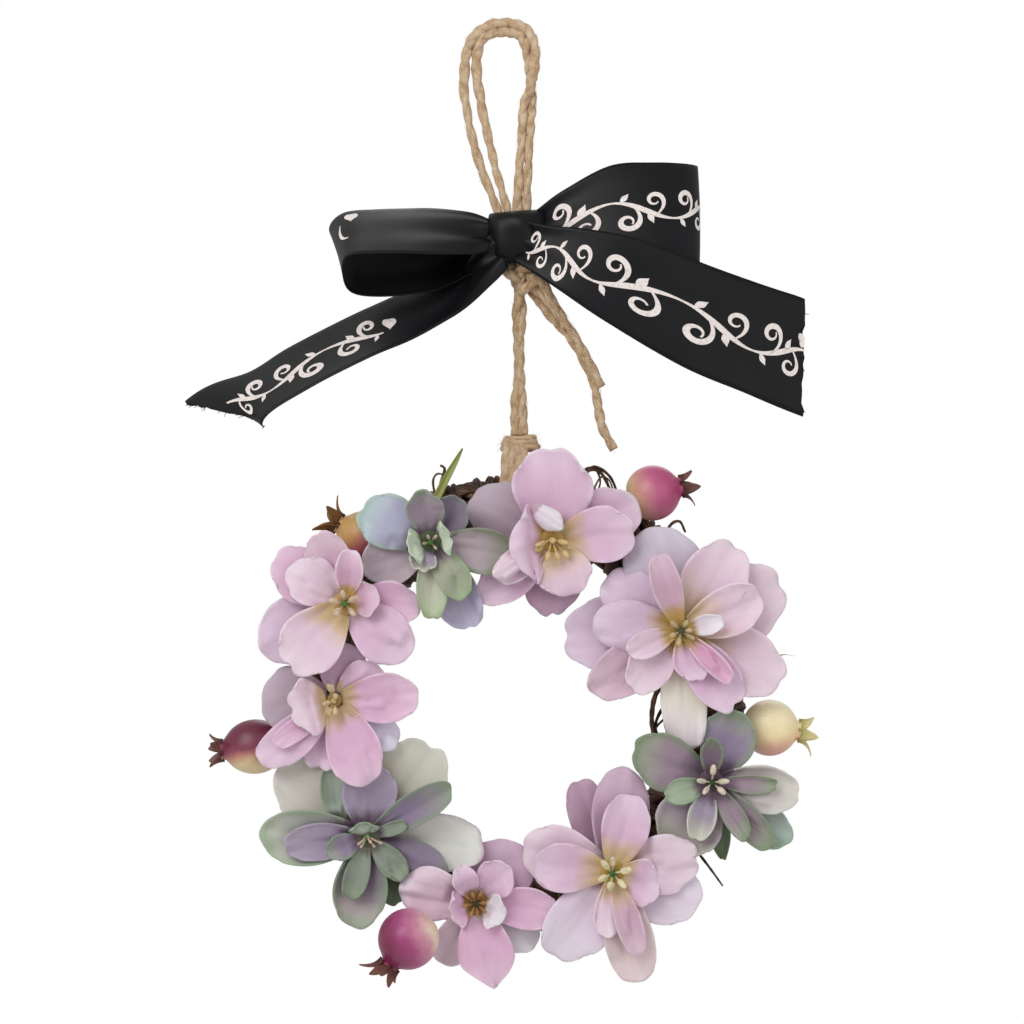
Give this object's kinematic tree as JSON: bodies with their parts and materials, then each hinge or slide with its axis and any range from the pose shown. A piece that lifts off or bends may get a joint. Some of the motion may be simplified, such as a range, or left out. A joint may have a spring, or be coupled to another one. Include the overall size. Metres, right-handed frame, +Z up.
{
  "type": "artificial flower door wreath",
  "caption": "Small round door wreath of fabric blooms and berries on a twisted vine ring, hung by a doubled jute cord under a satin ribbon bow.",
  "frame": {"origin": "where the inside of the hanging loop's top bears on its hook", "axes": "+Z up, -Y towards the viewer who faces the door, +X to that viewer's right"},
  "size_m": [0.1538, 0.043, 0.2296],
  "materials": {
    "vine": "rough bark",
    "jute": "fibrous twine",
    "ribbon": "satin",
    "petal_pink": "matte woven cloth",
    "petal_green": "matte woven cloth",
    "stamen": "matte moulded",
    "calyx": "matte moulded",
    "berry": "satin painted foam",
    "berry_crown": "matte dry brown",
    "grass": "matte leaf"
  },
  "bodies": {
    "root": {"vine_ring": "vine", "jute_binding": "jute", "jute_stem": "jute", "jute_hanging_loop": "jute", "jute_tail_short": "jute", "jute_tail_long": "jute", "ribbon_bow": "ribbon", "grass_blade": "grass", "bloom_at_12_petals": "petal_pink", "bloom_at_12_stamens": "stamen", "bloom_at_12_calyx": "calyx", "bloom_at_11_petals": "petal_green", "bloom_at_11_stamens": "stamen", "bloom_at_11_calyx": "calyx", "bloom_at_10_petals": "petal_pink", "bloom_at_10_stamens": "stamen", "bloom_at_10_calyx": "calyx", "bloom_at_9_petals": "petal_pink", "bloom_at_9_stamens": "stamen", "bloom_at_9_calyx": "calyx", "bloom_at_8_petals": "petal_green", "bloom_at_8_stamens": "stamen", "bloom_at_8_calyx": "calyx", "bloom_at_6_petals": "petal_pink", "bloom_at_6_stamens": "stamen", "bloom_at_6_calyx": "calyx", "bloom_at_5_petals": "petal_pink", "bloom_at_5_stamens": "stamen", "bloom_at_5_calyx": "calyx", "bloom_at_4_petals": "petal_green", "bloom_at_4_stamens": "stamen", "bloom_at_4_calyx": "calyx", "bloom_at_2_petals": "petal_pink", "bloom_at_2_stamens": "stamen", "bloom_at_2_calyx": "calyx", "berry_at_1": "berry", "berry_at_1_crown": "berry_crown", "berry_at_10": "berry", "berry_at_10_crown": "berry_crown", "berry_at_9": "berry", "berry_at_9_crown": "berry_crown", "berry_at_7": "berry", "berry_at_7_crown": "berry_crown", "berry_at_3": "berry", "berry_at_3_crown": "berry_crown"}
  },
  "joints": []
}
